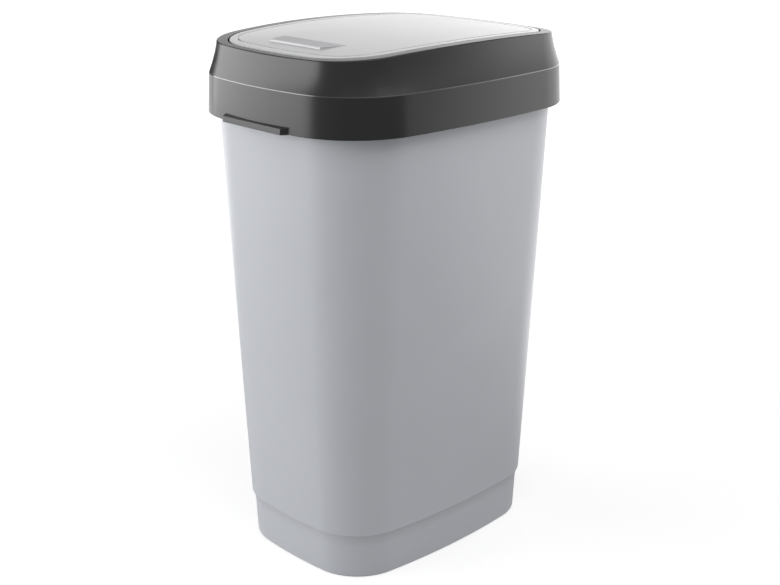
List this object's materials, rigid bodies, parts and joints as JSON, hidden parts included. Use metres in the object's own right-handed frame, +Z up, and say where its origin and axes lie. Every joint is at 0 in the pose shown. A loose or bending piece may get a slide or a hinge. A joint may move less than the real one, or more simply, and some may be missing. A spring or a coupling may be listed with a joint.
{
  "type": "swing-lid trash can",
  "caption": "Tall tapered plastic bin with rounded corners, a dark collar that lifts off and a light arched flap that swings in it.",
  "frame": {"origin": "on the floor, at the middle of the body's flat underside", "axes": "+Z up, -Y towards the front with the grip, +X to the right seen from the front"},
  "size_m": [0.326, 0.4285, 0.6584],
  "materials": {
    "body": "satin light grey, lightly grained",
    "collar": "satin anthracite",
    "flap": "satin silver grey",
    "pins": "smooth dark grey"
  },
  "bodies": {
    "body": {"bin_body": "body"},
    "collar": {"lid_collar": "collar"},
    "flap": {"swing_flap": "flap", "pivot_pin_left": "pins", "pivot_pin_right": "pins"}
  },
  "joints": [
    {"name": "collar_lift", "type": "slide", "parent": "body", "child": "collar", "axis": [0, 0, 1], "range_m": [0, 0.12]},
    {"name": "flap_swing", "type": "hinge", "parent": "collar", "child": "flap", "pos_m": [0, 0, 0.6522], "axis": [1, 0, 0], "continuous": true}
  ]
}
